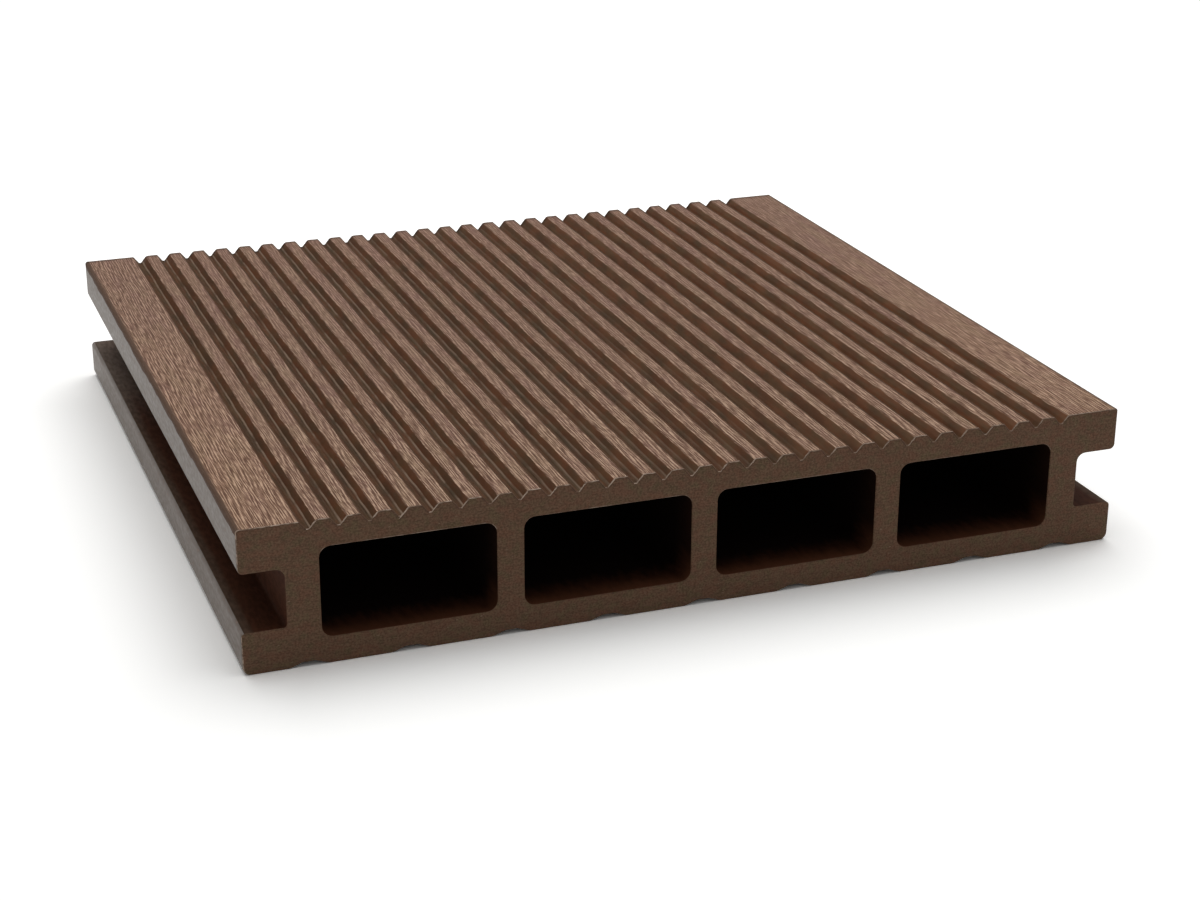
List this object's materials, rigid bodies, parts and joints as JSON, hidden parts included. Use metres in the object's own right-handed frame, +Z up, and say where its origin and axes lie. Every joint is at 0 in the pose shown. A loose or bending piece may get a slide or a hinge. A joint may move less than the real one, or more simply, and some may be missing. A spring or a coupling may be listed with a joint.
{
  "type": "decking board",
  "caption": "Short length of hollow composite decking board, grooved tread face, clip slots along both sides, open chambers through its cut ends.",
  "frame": {"origin": "middle of the underside, on the level that the board rests on", "axes": "+X across the board, +Y along the extrusion away from the near cut end, +Z up through the tread face"},
  "size_m": [0.15, 0.142, 0.024],
  "materials": {
    "brown_composite": "brown wood-plastic composite, brushed along the length on the tread face and matt where it is sawn"
  },
  "bodies": {
    "root": {"decking_board": "brown_composite"}
  },
  "joints": []
}
